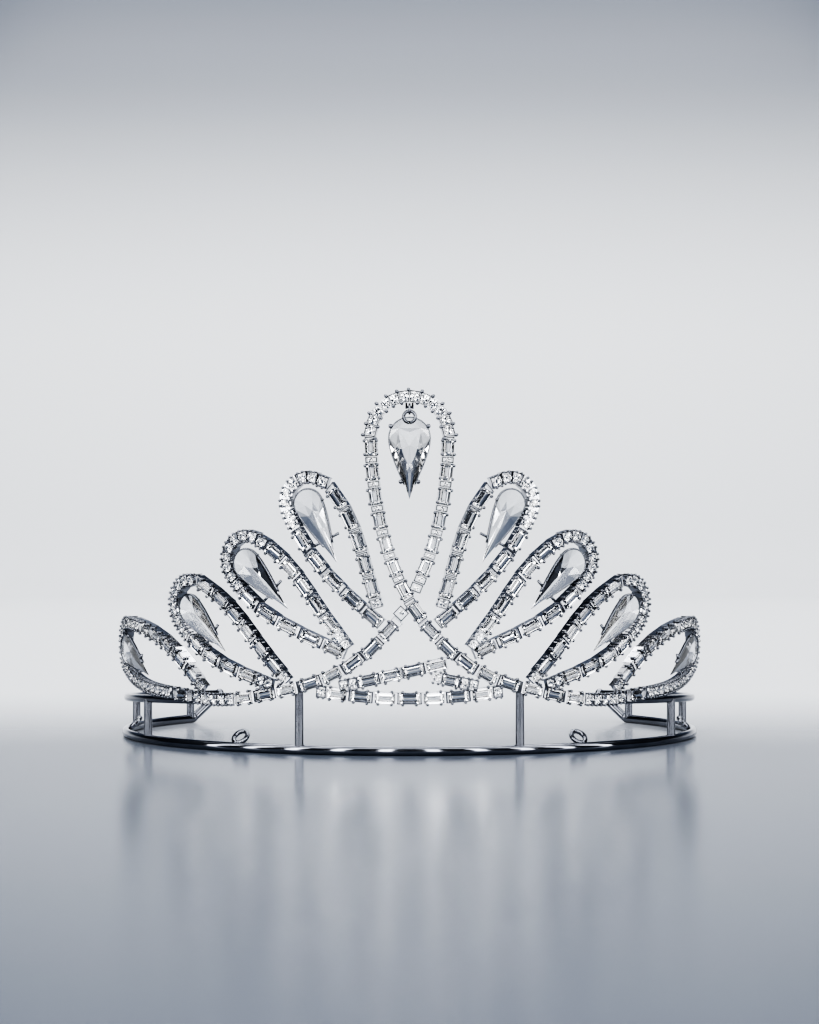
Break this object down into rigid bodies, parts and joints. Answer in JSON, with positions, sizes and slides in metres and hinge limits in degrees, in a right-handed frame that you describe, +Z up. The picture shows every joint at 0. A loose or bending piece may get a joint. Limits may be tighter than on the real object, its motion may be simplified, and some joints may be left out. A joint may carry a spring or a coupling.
{
  "type": "tiara",
  "caption": "Metal tiara on an open horseshoe base wire, with claw-set ribbon loops of baguette and round stones, fixed pear stones and a freely swinging centre drop.",
  "frame": {"origin": "on the floor that the base wire stands on, under the middle of the outline in X and Y", "axes": "+X to the right as seen from the front, +Y to the open rear, +Z up"},
  "size_m": [0.15, 0.1316, 0.087],
  "materials": {
    "base_metal": "mirror-polished rhodium-plated wire",
    "setting_metal": "polished rhodium-plated channel settings",
    "claw_metal": "polished rhodium-plated claws and wire",
    "baguette_crystal": "clear step-cut crystal",
    "round_crystal": "clear brilliant-cut crystal",
    "pear_crystal": "clear faceted pear crystal",
    "drop_crystal": "clear faceted pear crystal"
  },
  "bodies": {
    "frame": {"base_wire": "base_metal", "side_rail_left": "base_metal", "side_rail_right": "base_metal", "front_post_left": "base_metal", "front_post_right": "base_metal", "side_posts_left": "base_metal", "side_posts_right": "base_metal", "eyelet_front_left": "base_metal", "eyelet_front_right": "base_metal", "eyelet_side_left": "base_metal", "eyelet_side_right": "base_metal", "centre_loop_setting": "setting_metal", "centre_loop_baguettes": "baguette_crystal", "centre_loop_rounds": "round_crystal", "centre_band_setting": "setting_metal", "side_band_setting_left": "setting_metal", "side_band_setting_right": "setting_metal", "band_baguettes": "baguette_crystal", "band_rounds": "round_crystal", "cross_strip_setting_front": "setting_metal", "cross_strip_setting_back": "setting_metal", "cross_strip_baguettes": "baguette_crystal", "loop_1_setting_left": "setting_metal", "loop_2_setting_left": "setting_metal", "loop_3_setting_left": "setting_metal", "loop_4_setting_left": "setting_metal", "loop_1_setting_right": "setting_metal", "loop_2_setting_right": "setting_metal", "loop_3_setting_right": "setting_metal", "loop_4_setting_right": "setting_metal", "loop_1_baguettes_left": "baguette_crystal", "loop_2_baguettes_left": "baguette_crystal", "loop_3_baguettes_left": "baguette_crystal", "loop_4_baguettes_left": "baguette_crystal", "loop_1_baguettes_right": "baguette_crystal", "loop_2_baguettes_right": "baguette_crystal", "loop_3_baguettes_right": "baguette_crystal", "loop_4_baguettes_right": "baguette_crystal", "loop_1_rounds_left": "round_crystal", "loop_2_rounds_left": "round_crystal", "loop_3_rounds_left": "round_crystal", "loop_4_rounds_left": "round_crystal", "loop_1_rounds_right": "round_crystal", "loop_2_rounds_right": "round_crystal", "loop_3_rounds_right": "round_crystal", "loop_4_rounds_right": "round_crystal", "pear_1_left": "pear_crystal", "pear_2_left": "pear_crystal", "pear_3_left": "pear_crystal", "pear_4_left": "pear_crystal", "pear_1_right": "pear_crystal", "pear_2_right": "pear_crystal", "pear_3_right": "pear_crystal", "pear_4_right": "pear_crystal", "pear_claws_left": "claw_metal", "pear_claws_right": "claw_metal", "hanger_bar": "claw_metal"},
    "link": {"hanger_link": "claw_metal"},
    "drop": {"drop_mount": "claw_metal", "drop_stone": "drop_crystal"}
  },
  "joints": [
    {"name": "link_swing", "type": "hinge", "parent": "frame", "child": "link", "pos_m": [0, -0.06417, 0.08295], "axis": [1, 0, 0], "range_deg": [-50, 50]},
    {"name": "drop_swing", "type": "hinge", "parent": "link", "child": "drop", "pos_m": [0, -0.06417, 0.0814], "axis": [0, 1, 0], "range_deg": [-12, 12]}
  ]
}
